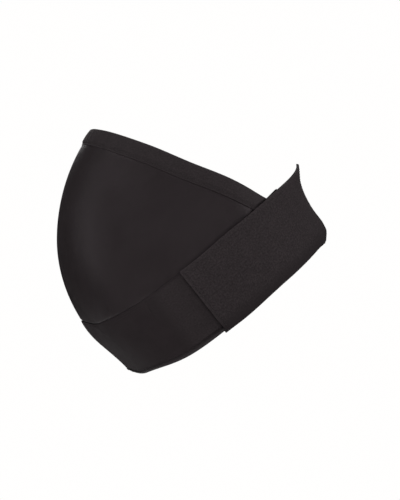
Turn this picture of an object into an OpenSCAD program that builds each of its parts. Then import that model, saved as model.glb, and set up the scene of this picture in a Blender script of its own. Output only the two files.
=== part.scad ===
// Under-belly support belt: a domed front panel hung on a wide elastic band.
// The band runs under the belly, up over the hips and across the small of the back.
// Two tabs, one on each side, close the back wings onto the front band with hook and loop.
//
// Frame: millimetres, +Z up, front of the wearer at -Y, wearer's left at +X.
// The origin is on the wearer's centre plane, in the middle of the worn opening.

/* [Wearer] */
// How far the belly stands forward of the origin
belly_reach = 147; // [140:1:155]
// Height at which the belly is fullest
belly_level = 15; // [8:1:22]
// Radius of the belly's profile above its fullest point
upper_belly_r = 203; // [190:1:230]
// Radius of the belly's profile below its fullest point
lower_belly_r = 160; // [155:1:170]
// Half width of the wearer at the top of the belly
waist_half = 126; // [118:1:134]
// Half width of the wearer at the hips
hip_half = 170; // [160:1:178]
// How far the hollow of the back lies behind the origin
lumbar_reach = 111; // [105:1:116]
// How far the seat lies behind the origin
seat_reach = 171; // [164:1:178]
// Exponent of the body's outline, 2 for an ellipse
squareness = 2.3; // [2.1:0.1:2.5]

/* [Fabric] */
// Thickness of a lining layer
lining_t = 0.6; // [0.4:0.1:0.7]
// Thickness of an outer layer
outer_t = 0.8; // [0.5:0.1:0.9]
// Thickness of an elastic core or tape
elastic_t = 0.8; // [0.5:0.1:0.9]
// Space left between two layers
ply_gap = 0.1; // [0.05:0.05:0.15]

/* [Top hem] */
// Width of the folded hem along the top edge
hem_w = 20; // [16:1:22]
// Width of the elastic tape inside the hem
hem_elastic_w = 13; // [8:1:13]

/* [Closure] */
// Angle round the body at which the tabs start
tab_front = 87; // [84:1:90]
// Angle round the body at which the tabs join the back wings
tab_hinge = 125; // [122:1:127]
// Length of a hook patch, as an angle round the body
patch_arc = 20; // [10:5:20]
// Angle round the body at which the loop landing starts, in front of the tab
landing_front = 73; // [66:1:85]
// Space between the hook patch and the loop patch when closed
closure_gap = 0.5; // [0.4:0.05:0.7]
// Slit between a tab and its wing, as an angle round the body
hinge_slit = 1.2; // [1:0.1:1.6]

/* [Hidden] */

// Colours, all near-black as the cloth is.
knit_black = [0.17, 0.155, 0.16];
plush_black = [0.19, 0.175, 0.18];
lining_black = [0.14, 0.13, 0.135];
elastic_black = [0.10, 0.10, 0.10];
thread_black = [0.12, 0.11, 0.115];
label_white = [0.85, 0.85, 0.83];

// The body's centre line stands this far behind the origin.
mid_reach = 20;
// The belly's underside runs inwards at this angle below its lower arc.
underside = 46;
// The back leaves the lumbar hollow at lumbar_top and reaches the seat seat_drop lower.
lumbar_top = 82;
seat_drop = 122;
// The body is waist_half wide at waist_top and hip_half wide hip_drop lower.
waist_top = 140;
hip_drop = 240;

// Heights of the belt's edges on the body, one every edge_step degrees from front to back.
edge_step = 20;
seam_heights = [-74, -77, -78, -62, -22, 24, 60, 79.5, 91, 97];
lower_heights = [-129, -130, -131, -131, -117, -76, -29, 2, 12, 16];
top_heights = [133, 133, 128, 115, 96, 77, 51, 22, 4, -2];
// How far the belt's cross lines lean at the hips, so that they cross the belt squarely.
lean = 17;

// Spacing of the stations round the body, and of the rows across the panel and the belt.
step_along = 5;
panel_row = 0.1;
belt_row = 0.125;

// Where the panel and the hem run out against the belt's upper edge.
panel_end = 109;
hem_end = 116.5;
tape_end = 106;
// The front band runs on this far behind the tabs' hinge, under the wings.
band_overlap = 7;
band_end = tab_hinge + band_overlap;

// Distances of the layers from the wearer, from the inside out.
panel_lining_at = 0;
panel_outer_at = panel_lining_at + lining_t + ply_gap;
panel_face = panel_outer_at + outer_t;
band_lining_at = ply_gap;
band_core_at = band_lining_at + lining_t + ply_gap;
band_outer_at = band_core_at + elastic_t + ply_gap;
band_face = band_outer_at + outer_t;
patch_t = 0.7;
loop_at = band_face + ply_gap;
hook_at = loop_at + patch_t + closure_gap;
wing_lining_at = hook_at + patch_t + ply_gap;
wing_core_at = wing_lining_at + lining_t + ply_gap;
wing_outer_at = wing_core_at + elastic_t + ply_gap;
wing_face = wing_outer_at + outer_t;

// Threads, tapes and label.
thread_t = 0.3;
thread_w = 0.7;
tape_t = 0.7;
tape_w = 10;
tape_gap = 0.5;
seam_gap = 0.4;
label_w = 22;
label_h = 34;
label_t = 0.3;

// Shares of the hem's depth, from the top edge down: the foot of the fold and the lower edge
// of the elastic, which lies against it.
hem_fold = 0.16;
elastic_low = hem_fold + hem_elastic_w / hem_w;

// Shares of the belt's width, from its lower edge up: where the front band's cloth starts,
// how deep its binding reaches, how far the tabs and wings hang below it, and the patches. The
// loop landing runs from the lower edge's stitching to the panel's seam.
band_hem = 0.02;
binding_top = 0.045;
belt_overhang = 0.03;
patch_low = 0.125;
patch_high = 0.875;
landing_low = 0.08;
landing_high = 0.97;
thread_share = thread_w / 80;
// The patches lie this far behind the tabs' front ends, as an angle.
patch_inset = 3;
// Half the width of the seam between the back wings, as an angle.
back_seam = 0.4;
// Half the width of the tape and the places of the threads at the centre of the back.
back_tape = 2.4;
back_thread = 1.7;

// --- The wearer's body, which every piece lies on ---

function ease(t) = let (k = max(0, min(1, t))) k * k * (3 - 2 * k);

function front_reach(z) =
    let (
        r = z > belly_level ? upper_belly_r : lower_belly_r,
        lowest = -lower_belly_r * sin(underside),
        rise = max(z - belly_level, lowest),
        below = max(lowest - (z - belly_level), 0)
    )
    belly_reach - r + sqrt(r * r - rise * rise) - below * tan(underside);

function back_reach(z) =
    lumbar_reach + (seat_reach - lumbar_reach) * ease((lumbar_top - z) / seat_drop);

function half_width(z) =
    waist_half + (hip_half - waist_half) * ease((waist_top - z) / hip_drop);

// A point of the body at an angle from the front, positive to the wearer's left, and a height.
function body(angle, z) =
    let (
        depth = cos(angle) > 0 ? front_reach(z) + mid_reach : back_reach(z) - mid_reach,
        along = pow(abs(cos(angle)) / depth, squareness),
        across = pow(abs(sin(angle)) / half_width(z), squareness),
        r = pow(along + across, -1 / squareness)
    )
    [r * sin(angle), mid_reach - r * cos(angle), z];

function unit(v) = v / norm(v);

// A point that far outside the body.
function above(angle, z, out) =
    let (
        round_it = body(angle + 0.5, z) - body(angle - 0.5, z),
        up_it = body(angle, z + 0.5) - body(angle, z - 0.5)
    )
    body(angle, z) + out * unit(cross(round_it, up_it));

// --- The edges of the pieces ---

// Smooth height of an edge at an angle, through the heights in its list. The edge is level
// across the front, and both sides run straight on into a peak at the centre of the back.
function edge(heights, angle) =
    let (
        s = (180 - abs(180 - abs(angle))) / edge_step,
        i = min(floor(s), 8),
        t = s - i,
        a = heights[abs(i - 1)],
        b = heights[i],
        c = heights[i + 1],
        d = i < 8 ? heights[i + 2] : 2 * c - b
    )
    b + t / 2 * (c - a + t * (2 * a - 5 * b + 4 * c - d + t * (3 * (b - c) + d - a)));

// How far straight down hem_w reaches, where the top edge slopes and the body leans back.
function hem_drop(angle) =
    let (
        z = edge(top_heights, angle),
        a = body(angle - 1, edge(top_heights, angle - 1)),
        b = body(angle + 1, edge(top_heights, angle + 1)),
        up = body(angle, z + 0.5) - body(angle, z - 0.5)
    )
    hem_w / norm(cross(unit(b - a), up));

// The hem's depth at an angle: its full width, or less where the belt cuts it off.
function hem_depth(angle) =
    min(hem_drop(angle), edge(top_heights, angle) - edge(seam_heights, angle) - seam_gap);

// A point of the front panel: v runs from the belt's seam, 0, to the hem, 1.
on_panel = function(angle, v, out)
    let (
        low = edge(seam_heights, angle) + seam_gap,
        high = edge(top_heights, angle) - hem_drop(angle)
    )
    above(angle, low + (high - low) * v, out);

// A point of the belt: v runs from its lower edge, 0, to its upper edge, 1.
on_belt = function(angle, v, out)
    let (
        low = angle + lean / 2 * sin(angle),
        high = angle - lean / 2 * sin(angle),
        z_low = edge(lower_heights, low),
        z_high = edge(seam_heights, high)
    )
    above(low + (high - low) * v, z_low + (z_high - z_low) * v, out);

// A point of the hem: down is the share of its depth below the top edge.
on_hem = function(angle, down, out)
    above(angle, edge(top_heights, angle) - hem_depth(angle) * down, out);

// --- Cloth ---

// Stations from one value to another, at both ends and at each multiple of the step between
// them. Pieces that lie on each other share these, so their facets are parallel.
function stations(from, to, step) =
    let (
        first = ceil(from / step + 0.2),
        last = floor(to / step - 0.2)
    )
    concat([from], [for (k = [first:1:last]) k * step], [to]);

// A closed sheet between two grids of points, both [station along][station across].
module sheet(inside, outside) {
    rows = len(inside);
    cols = len(inside[0]);
    inner = function(i, j) i * cols + j;
    outer = function(i, j) (rows + i) * cols + j;
    quad = function(a, b, c, d) [[a, b, c], [a, c, d]];
    faces = [
        for (i = [0:rows - 2], j = [0:cols - 2])
            each concat(
                quad(inner(i, j), inner(i + 1, j), inner(i + 1, j + 1), inner(i, j + 1)),
                quad(outer(i, j), outer(i, j + 1), outer(i + 1, j + 1), outer(i + 1, j))
            ),
        for (i = [0:rows - 2])
            each concat(
                quad(inner(i, 0), outer(i, 0), outer(i + 1, 0), inner(i + 1, 0)),
                quad(inner(i, cols - 1), inner(i + 1, cols - 1),
                     outer(i + 1, cols - 1), outer(i, cols - 1))
            ),
        for (j = [0:cols - 2])
            each concat(
                quad(inner(0, j), inner(0, j + 1), outer(0, j + 1), outer(0, j)),
                quad(inner(rows - 1, j), outer(rows - 1, j),
                     outer(rows - 1, j + 1), inner(rows - 1, j + 1))
            )
    ];
    polyhedron(points = [for (grid = [inside, outside]) for (row = grid) each row],
               faces = faces, convexity = 10);
}

// A ply of cloth on a surface: place(angle, v, out) gives its points.
module ply(place, angles, vs, at, thick) {
    sheet([for (a = angles) [for (v = vs) place(a, v, at)]],
          [for (a = angles) [for (v = vs) place(a, v, at + thick)]]);
}

// A tape folded over an edge: each fold is a list of [v, out] across the tape.
module folded(place, angles, inner_fold, outer_fold) {
    sheet([for (a = angles) [for (p = inner_fold) place(a, p[0], p[1])]],
          [for (a = angles) [for (p = outer_fold) place(a, p[0], p[1])]]);
}

// A row of stitches along an edge, at a share v across the piece.
module stitch_row(place, angles, v, at, w_share) {
    ply(place, angles, [v - w_share / 2, v + w_share / 2], at, thread_t);
}

// A row of stitches across the belt's outer face.
module stitch_line(angle) {
    ply(on_belt, [angle - 0.125, angle + 0.125], cross_vs, wing_face + ply_gap, thread_t);
}

// The same piece on the wearer's left, side 1, or right, side -1.
function sided(angles, side) =
    side > 0 ? angles : [for (i = [len(angles) - 1:-1:0]) -angles[i]];

band_angles = stations(-band_end, band_end, step_along);
bound_angles = stations(-tab_hinge, tab_hinge, step_along);
open_angles = stations(2 - landing_front, landing_front - 2, step_along);
hem_angles = stations(-hem_end, hem_end, step_along);
panel_angles = stations(-panel_end, panel_end, step_along);
tape_angles = stations(-tape_end, tape_end, step_along);
wing_angles = stations(tab_hinge + hinge_slit / 2, 180 - back_seam, step_along);
tab_angles = stations(tab_front, tab_hinge - hinge_slit / 2, step_along);
patch_angles = stations(tab_front + patch_inset, tab_front + patch_inset + patch_arc, step_along);
landing_angles = stations(landing_front, tab_front + patch_inset + patch_arc, step_along);
anchor_angles = [tab_hinge + hinge_slit / 2, tab_hinge + step_along];
panel_vs = stations(0, 1, panel_row);
band_vs = stations(band_hem, 1, belt_row);
belt_vs = stations(-belt_overhang, 1, belt_row);
patch_vs = stations(patch_low, patch_high, belt_row);
landing_vs = stations(landing_low, landing_high, belt_row);
anchor_vs = stations(patch_low, patch_high, belt_row);
cross_vs = stations(0, 0.97, belt_row);

// --- Front panel and its hem ---

module belly_panel_outer() {
    color(knit_black)
        ply(on_panel, panel_angles, panel_vs, panel_outer_at, outer_t);
}

module belly_panel_lining() {
    color(lining_black)
        ply(on_panel, panel_angles, panel_vs, panel_lining_at, lining_t);
}

// The casing folds over the top of the elastic, down to the hem line on both sides.
module top_hem_casing() {
    inside_at = panel_lining_at - ply_gap;
    outside_at = panel_face + elastic_t + 2 * ply_gap;
    color(knit_black)
        folded(on_hem, hem_angles,
            [[1, inside_at], [0.5, inside_at], [hem_fold, inside_at], [0.06, inside_at + 0.8],
             [0.06, outside_at - 0.8], [hem_fold, outside_at], [0.5, outside_at],
             [elastic_low, outside_at], [1, outside_at]],
            [[1, inside_at - lining_t], [0.5, inside_at - lining_t], [0.1, inside_at - lining_t],
             [0, inside_at + 0.6], [0, outside_at - 0.6], [0.1, outside_at + lining_t],
             [0.5, outside_at + lining_t], [elastic_low, outside_at + lining_t],
             [1, outside_at + lining_t]]);
}

module top_hem_elastic() {
    color(elastic_black)
        ply(on_hem, hem_angles, [elastic_low, 0.5, hem_fold], panel_face + ply_gap, elastic_t);
}

module top_hem_stitching() {
    at = panel_face + elastic_t + lining_t + 4 * ply_gap;
    color(thread_black)
        for (down = [0.93, 0.8])
            stitch_row(on_hem, hem_angles, down, at, -thread_w / hem_w);
}

// --- Front band ---

module front_band_outer() {
    color(knit_black) ply(on_belt, band_angles, band_vs, band_outer_at, outer_t);
}

module front_band_core() {
    color(elastic_black) ply(on_belt, band_angles, band_vs, band_core_at, elastic_t);
}

module front_band_lining() {
    color(lining_black) ply(on_belt, band_angles, band_vs, band_lining_at, lining_t);
}

// Covers the seam between the panel and the band on the inside.
module panel_seam_tape() {
    on_seam = function(angle, v, out)
        above(angle, edge(seam_heights, angle) + (v - 0.5) * tape_w, out);
    color(lining_black)
        ply(on_seam, tape_angles, [0, 1], panel_lining_at - tape_gap - tape_t, tape_t);
}

module panel_seam_stitching() {
    color(thread_black)
        for (v = [0.965, 0.93])
            stitch_row(on_belt, open_angles, v, band_face + ply_gap, thread_share);
}

// A binding rolled round the lower edge of the front band.
module lower_edge_binding() {
    in_at = band_lining_at - ply_gap;
    out_at = band_face + ply_gap;
    fold = band_hem / 2;
    color(knit_black)
        folded(on_belt, bound_angles,
            [[binding_top, in_at], [fold, in_at], [fold, out_at], [binding_top, out_at]],
            [[binding_top, in_at - lining_t], [0, in_at - lining_t / 2],
             [0, out_at + lining_t / 2], [binding_top, out_at + lining_t]]);
}

module lower_edge_stitching() {
    color(thread_black)
        stitch_row(on_belt, bound_angles, binding_top + 0.02, band_face + ply_gap, thread_share);
}

// The loop landing runs on in front of the closed tab, so that the belt can be let out.
module loop_patch(side) {
    color(plush_black)
        ply(on_belt, sided(landing_angles, side), landing_vs, loop_at, patch_t);
}

// --- Back wings, one each side, joined at the centre of the back ---

module back_wing_outer(side) {
    color(plush_black)
        ply(on_belt, sided(wing_angles, side), belt_vs, wing_outer_at, outer_t);
}

module back_wing_core(side) {
    color(elastic_black)
        ply(on_belt, sided(wing_angles, side), belt_vs, wing_core_at, elastic_t);
}

module back_wing_lining(side) {
    color(lining_black)
        ply(on_belt, sided(wing_angles, side), belt_vs, wing_lining_at, lining_t);
}

// The seam allowances that fill the space where a wing is sewn over the front band.
module seam_anchor(side) {
    color(elastic_black)
        ply(on_belt, sided(anchor_angles, side), anchor_vs,
            band_face + ply_gap, wing_lining_at - band_face - 2 * ply_gap);
}

// Two rows of thread across a wing where it is sewn to the front band.
module seam_anchor_stitching(side) {
    color(thread_black)
        for (angle = [tab_hinge + 2.6, band_end - 1.2])
            stitch_line(side * angle);
}

module centre_back_tape() {
    color(lining_black)
        ply(on_belt, stations(180 - back_tape, 180 + back_tape, back_tape / 2), belt_vs,
            wing_lining_at - ply_gap - tape_t, tape_t);
}

module centre_back_stitching() {
    color(thread_black)
        for (angle = [180 - back_thread, 180 + back_thread])
            stitch_line(angle);
}

// A blank folded label, caught in the centre back tape's upper end.
module care_label() {
    tape_face = lumbar_reach + wing_lining_at - ply_gap - tape_t;
    top_z = edge(seam_heights, 180) - 8;
    color(label_white)
        for (leaf = [1, 2])
            translate([-label_w / 2, tape_face - leaf * (label_t + ply_gap), top_z - label_h])
                cube([label_w, label_t, label_h]);
}

// --- Closing tabs, one each side ---

module tab_outer(side) {
    color(plush_black)
        ply(on_belt, sided(tab_angles, side), belt_vs, wing_outer_at, outer_t);
}

module tab_core(side) {
    color(elastic_black)
        ply(on_belt, sided(tab_angles, side), belt_vs, wing_core_at, elastic_t);
}

module tab_lining(side) {
    color(lining_black)
        ply(on_belt, sided(tab_angles, side), belt_vs, wing_lining_at, lining_t);
}

module hook_patch(side) {
    color(elastic_black)
        ply(on_belt, sided(patch_angles, side), patch_vs, hook_at, patch_t);
}

// A row of thread down the tab's free end.
module tab_stitching(side) {
    color(thread_black)
        stitch_line(side * (tab_front + 1));
}

belly_panel_outer();
belly_panel_lining();
top_hem_casing();
top_hem_elastic();
top_hem_stitching();
front_band_outer();
front_band_core();
front_band_lining();
panel_seam_tape();
panel_seam_stitching();
lower_edge_binding();
lower_edge_stitching();
loop_patch(1);  // loop_patch_left
loop_patch(-1);  // loop_patch_right
seam_anchor(1);  // seam_anchor_left
seam_anchor(-1);  // seam_anchor_right
seam_anchor_stitching(1);  // seam_anchor_stitching_left
seam_anchor_stitching(-1);  // seam_anchor_stitching_right
back_wing_outer(1);  // back_wing_outer_left
back_wing_outer(-1);  // back_wing_outer_right
back_wing_core(1);  // back_wing_core_left
back_wing_core(-1);  // back_wing_core_right
back_wing_lining(1);  // back_wing_lining_left
back_wing_lining(-1);  // back_wing_lining_right
centre_back_tape();
centre_back_stitching();
care_label();
tab_outer(1);  // tab_outer_left
tab_core(1);  // tab_core_left
tab_lining(1);  // tab_lining_left
hook_patch(1);  // hook_patch_left
tab_stitching(1);  // tab_stitching_left
tab_outer(-1);  // tab_outer_right
tab_core(-1);  // tab_core_right
tab_lining(-1);  // tab_lining_right
hook_patch(-1);  // hook_patch_right
tab_stitching(-1);  // tab_stitching_right
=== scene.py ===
"""A maternity support belt in the shape that it has when it is worn.

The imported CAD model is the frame. Every cloth piece is made here as a thin closed sheet on
the same worn body that the CAD solids lie on, at the same distances from the wearer.
Lengths are in metres, angles in degrees round the body from the front, positive to the
wearer's left.
"""

import math

import bpy
import numpy as np
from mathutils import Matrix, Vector


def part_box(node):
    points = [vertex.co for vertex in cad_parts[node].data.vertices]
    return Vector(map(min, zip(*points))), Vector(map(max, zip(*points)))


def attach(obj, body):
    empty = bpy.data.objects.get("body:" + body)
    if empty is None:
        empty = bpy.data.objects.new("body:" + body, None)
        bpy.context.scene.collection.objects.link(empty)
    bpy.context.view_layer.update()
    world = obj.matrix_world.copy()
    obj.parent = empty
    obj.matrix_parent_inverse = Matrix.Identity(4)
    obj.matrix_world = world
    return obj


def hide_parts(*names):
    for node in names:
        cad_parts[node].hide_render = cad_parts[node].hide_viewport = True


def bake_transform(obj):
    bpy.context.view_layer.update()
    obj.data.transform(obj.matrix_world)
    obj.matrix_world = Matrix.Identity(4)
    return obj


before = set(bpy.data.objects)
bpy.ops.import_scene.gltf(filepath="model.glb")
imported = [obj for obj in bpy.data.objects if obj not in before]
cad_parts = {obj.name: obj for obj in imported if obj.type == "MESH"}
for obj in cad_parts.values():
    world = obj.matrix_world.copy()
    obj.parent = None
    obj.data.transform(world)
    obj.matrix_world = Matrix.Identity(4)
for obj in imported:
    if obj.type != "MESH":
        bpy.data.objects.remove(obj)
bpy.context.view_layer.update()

MM = 0.001

# --- The worn body, as in the CAD model ---

BELLY_REACH = 147 * MM
BELLY_LEVEL = 15 * MM
UPPER_BELLY_R = 203 * MM
LOWER_BELLY_R = 160 * MM
UNDERSIDE = math.radians(46)
MID_REACH = 20 * MM
LUMBAR_REACH = 111 * MM
SEAT_REACH = 171 * MM
LUMBAR_TOP = 82 * MM
SEAT_DROP = 122 * MM
WAIST_HALF = 126 * MM
HIP_HALF = 170 * MM
WAIST_TOP = 140 * MM
HIP_DROP = 240 * MM
SQUARENESS = 2.3

# Heights of the edges on the body, one every EDGE_STEP degrees from front to back.
EDGE_STEP = 20
SEAM_HEIGHTS = np.array([-74, -77, -78, -62, -22, 24, 60, 79.5, 91, 97]) * MM
LOWER_HEIGHTS = np.array([-129, -130, -131, -131, -117, -76, -29, 2, 12, 16]) * MM
TOP_HEIGHTS = np.array([133, 133, 128, 115, 96, 77, 51, 22, 4, -2]) * MM
LEAN = 17

# Where pieces start and end round the body.
TAB_FRONT = 87
TAB_HINGE = 125
BAND_END = 132
PANEL_END = 109
HEM_END = 116.5
TAPE_END = 106
PATCH_START = 90
PATCH_END = 110
LANDING_START = 73
ANCHOR_START = 125.7
ANCHOR_END = 129.9
ANCHOR_ROWS = (127.6, 130.8)
BACK_TAPE_HALF = 2.4
BACK_ROW = 1.7
BACK_SEAM = 0.4

# Shares of the belt's width: how far the back belt hangs below the front band's lower edge,
# where the band's own cloth starts, and the trims' extents and rows.
OVERHANG = 0.03
BAND_LOW = 0.022
LANDING_SPAN = (0.075, 0.97)
HOOK_SPAN = (0.125, 0.875)
HOOK_ROWS = (0.14, 0.86)
ANCHOR_SPAN = (0.13, 0.87)
ANCHOR_ROW_SPAN = (0.02, 0.96)
TAB_ROW_SPAN = (0.0, 0.97)
BACK_ROW_SPAN = (0.01, 0.96)
SEAM_ROWS = (0.965, 0.93)
BINDING_ROW = 0.065
# The extra station at each edge is this share of the width in from it.
CRISP = 0.004

# Distances of the layers' faces from the wearer, from the inside out.
PANEL_LINING = (0.0, 0.6 * MM)
PANEL_CLOTH = (0.7 * MM, 1.5 * MM)
BAND_LINING = (0.1 * MM, 0.7 * MM)
BAND_CORE = (0.8 * MM, 1.6 * MM)
BAND_CLOTH = (1.7 * MM, 2.5 * MM)
LOOP_PATCH = (2.6 * MM, 3.3 * MM)
HOOK_TAPE = (4.15 * MM, 4.5 * MM)
ANCHOR_TAPE = (2.6 * MM, 4.5 * MM)
WING_LINING = (4.6 * MM, 5.2 * MM)
WING_CORE = (5.3 * MM, 6.1 * MM)
WING_CLOTH = (6.2 * MM, 7.0 * MM)
BACK_TAPE = (3.8 * MM, 4.5 * MM)
SEAM_TAPE = (-1.2 * MM, -0.5 * MM)
HEM_INSIDE = -0.4 * MM
HEM_OUTSIDE = 2.8 * MM
HEM_ELASTIC = (1.6 * MM, 2.3 * MM)

HEM_W = 20 * MM
BELT_W = 80 * MM
TAPE_W = 10 * MM
# Cloth to a degree round the body, for the size of its small shapes.
PER_DEGREE = 2.6 * MM
HEM_PER_DEGREE = 2.2 * MM
TAB_PER_DEGREE = 2.4 * MM
LANDING_PER_DEGREE = 2.9 * MM
BINDING_PER_DEGREE = 5 * MM


def ease(t):
    """From 0 to 1 with level ends."""
    t = np.clip(t, 0, 1)
    return t * t * (3 - 2 * t)


def rise(x, start, length):
    """0 up to the start, and 1 from one length after it."""
    return ease((x - start) / length)


def fall(x, start, length):
    """0 down to the start, and 1 from one length below it."""
    return ease((start - x) / length)


def front_reach(z):
    """How far the body's front stands forward: two arcs, then a straight underside."""
    r = np.where(z > BELLY_LEVEL, UPPER_BELLY_R, LOWER_BELLY_R)
    lowest = -LOWER_BELLY_R * math.sin(UNDERSIDE)
    rise = np.maximum(z - BELLY_LEVEL, lowest)
    below = np.maximum(lowest - (z - BELLY_LEVEL), 0)
    return BELLY_REACH - r + np.sqrt(r * r - rise * rise) - below * math.tan(UNDERSIDE)


def back_reach(z):
    """How far the body's back stands backward, from the small of the back to the seat."""
    return LUMBAR_REACH + (SEAT_REACH - LUMBAR_REACH) * fall(z, LUMBAR_TOP, SEAT_DROP)


def half_width(z):
    """Half the body's width, from the waist to the hips."""
    return WAIST_HALF + (HIP_HALF - WAIST_HALF) * fall(z, WAIST_TOP, HIP_DROP)


def body(angle, z):
    """Points of the worn body at angles and heights."""
    a = np.radians(angle)
    depth = np.where(np.cos(a) > 0, front_reach(z) + MID_REACH, back_reach(z) - MID_REACH)
    along = (np.abs(np.cos(a)) / depth) ** SQUARENESS
    across = (np.abs(np.sin(a)) / half_width(z)) ** SQUARENESS
    r = (along + across) ** (-1 / SQUARENESS)
    return np.stack([r * np.sin(a), MID_REACH - r * np.cos(a), z + 0 * a], axis=-1)


def outward(angle, z):
    """The body's outward normals."""
    round_it = body(angle + 0.5, z) - body(angle - 0.5, z)
    up_it = body(angle, z + 0.5 * MM) - body(angle, z - 0.5 * MM)
    n = np.cross(round_it, up_it)
    return n / np.linalg.norm(n, axis=-1, keepdims=True)


def above(angle, z, out):
    """Points that far outside the body."""
    return body(angle, z) + outward(angle, z) * np.asarray(out)[..., None]


def edge(heights, angle):
    """Smooth height of an edge: level across the front, with a peak at the centre back."""
    s = (180 - np.abs(180 - np.abs(angle))) / EDGE_STEP
    i = np.minimum(np.floor(s).astype(int), 8)
    t = s - i
    a, b, c = heights[np.abs(i - 1)], heights[i], heights[i + 1]
    d = np.where(i < 8, heights[np.minimum(i + 2, 9)], 2 * c - b)
    return b + t / 2 * (c - a + t * (2 * a - 5 * b + 4 * c - d + t * (3 * (b - c) + d - a)))


def hem_drop(angle):
    """How far straight down the hem's width reaches."""
    z = edge(TOP_HEIGHTS, angle)
    a = body(angle - 1, edge(TOP_HEIGHTS, angle - 1))
    b = body(angle + 1, edge(TOP_HEIGHTS, angle + 1))
    run = (b - a) / np.linalg.norm(b - a, axis=-1, keepdims=True)
    up = (body(angle, z + 0.5 * MM) - body(angle, z - 0.5 * MM)) / MM
    return HEM_W / np.linalg.norm(np.cross(run, up), axis=-1)


# --- Surfaces: each gives the angle and height of a place on its piece ---

PANEL_TUCKED = 0.2 * MM
PANEL_LEAST = 0.9 * MM
PANEL_BEHIND = 1.8 * MM
PANEL_TOP = 0.94
PANEL_OVER = 1.018
HEM_CLEAR = 0.4 * MM


def on_panel(angle, v):
    """The front panel, v from 0 behind the belt's seam to 1 at the hem's lower line.

    Its last rows run on behind the hem.
    """
    low = edge(SEAM_HEIGHTS, angle) - PANEL_TUCKED
    high = np.maximum(edge(TOP_HEIGHTS, angle) - hem_drop(angle), low + PANEL_LEAST)
    behind = PANEL_BEHIND * rise(v, PANEL_TOP, PANEL_OVER - PANEL_TOP)
    return angle + 0 * v, low + (high - low) * v + behind


def on_belt(angle, v):
    """The belt, v from 0 at its lower edge to 1 at its upper edge."""
    low = angle + LEAN / 2 * np.sin(np.radians(angle))
    high = angle - LEAN / 2 * np.sin(np.radians(angle))
    z_low, z_high = edge(LOWER_HEIGHTS, low), edge(SEAM_HEIGHTS, high)
    return low + (high - low) * v, z_low + (z_high - z_low) * v


def on_hem(angle, down):
    """The hem, down from 0 at the top edge to 1 at its lower line."""
    top = edge(TOP_HEIGHTS, angle)
    depth = np.minimum(hem_drop(angle), top - edge(SEAM_HEIGHTS, angle) - HEM_CLEAR)
    return angle + 0 * down, top - depth * down


def on_seam(angle, v):
    """A tape that covers the panel's seam on the inside, v from 0 to 1 up its width."""
    return angle + 0 * v, edge(SEAM_HEIGHTS, angle) + (v - 0.5) * TAPE_W


# --- Shape helpers ---

# How far each soft shape of the worn cloth moves it.
SOFT = 0.16 * MM
BELT_SWELL = 0.45 * MM
CROWN = 1.5 * MM
CURL = 1.8 * MM
FRONT_CURL = 2.0 * MM
BACK_CORNER = 6.0 * MM
BACK_FULL = 2.2 * MM
# The rim stands out by this share of the cloth's thickness, and is lighter for this far, partly
# from rubbing and partly as a painted highlight where the rim catches the light.
RIM_SHARE = 0.4
RUBBED_AND_LIT = 1.2 * MM


def bump(x, centre, width):
    """1 at the centre and fading to either side over the width."""
    return np.exp(-(((x - centre) / width) ** 2))


def waves(a, b, size, seed, count=9):
    """Smooth noise from about -1 to 1 over two lengths, with features about that size."""
    rng = np.random.default_rng(seed)
    total = 0
    for _ in range(count):
        turn, phase = rng.uniform(0, math.pi), rng.uniform(0, 2 * math.pi)
        length = size * rng.uniform(0.8, 2.2)
        way = a * math.cos(turn) + b * math.sin(turn)
        total = total + np.sin(2 * math.pi * way / length + phase)
    return total / math.sqrt(count)


def past_front(phi):
    """0 across the belly, 1 at the sides and the back."""
    return rise(np.abs(phi), 25, 40)


def drape(phi, z):
    """What the worn cloth adds to every layer's distance, so that the layers stay parallel.

    The cloth lies in soft swells, the belt is a little crowned across its width, its lower
    edge curls towards the wearer, and the belt is full and then rounded under at the back.
    """
    arc = phi * PER_DEGREE
    below = edge(SEAM_HEIGHTS, phi) - z
    on_band = rise(below, -12 * MM, 24 * MM)
    beside = past_front(phi)
    at_back = rise(np.abs(phi), 147, 14)
    soft = SOFT * waves(arc, z, 95 * MM, 3)
    swell = BELT_SWELL * waves(arc, z * 0.8, 52 * MM, 21) * on_band
    crown = CROWN * bump(below, 36 * MM, 27 * MM) * on_band * beside
    curl = CURL * beside * rise(below, 64 * MM, 18 * MM)
    underside = FRONT_CURL * (1 - beside) * fall(z, -92 * MM, 30 * MM)
    corner = BACK_CORNER * fall(z, 21 * MM, 11 * MM)
    full = BACK_FULL * bump(z, 25 * MM, 14 * MM)
    return soft + swell + crown - curl - underside - at_back * (corner - full)


def lay(phi, z, out):
    """Points of the worn cloth at a layer's distance."""
    return above(phi, z, out + drape(phi, z))


def spaced(start, end, count, margin=0.0):
    """Evenly spaced stations, with one more close to each end, so that the edge is crisp."""
    inner = np.linspace(start, end, count)
    if not margin:
        return inner
    step = math.copysign(margin, end - start)
    return np.sort(np.concatenate([inner, [start + step, end - step]]))


def sided(stations, side):
    """The same stations on the wearer's left, side 1, or right, side -1."""
    return stations if side > 0 else -stations[::-1]


def side_name(side):
    """left for side 1, right for side -1, as in the CAD's names."""
    return "left" if side > 0 else "right"


def rim_loop(n, m):
    """Grid places round the border, anticlockwise as seen from outside."""
    return (
        [(i, 0) for i in range(n - 1)]
        + [(n - 1, j) for j in range(m - 1)]
        + [(i, m - 1) for i in range(n - 1, 0, -1)]
        + [(0, j) for j in range(m - 1, 0, -1)]
    )


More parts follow.
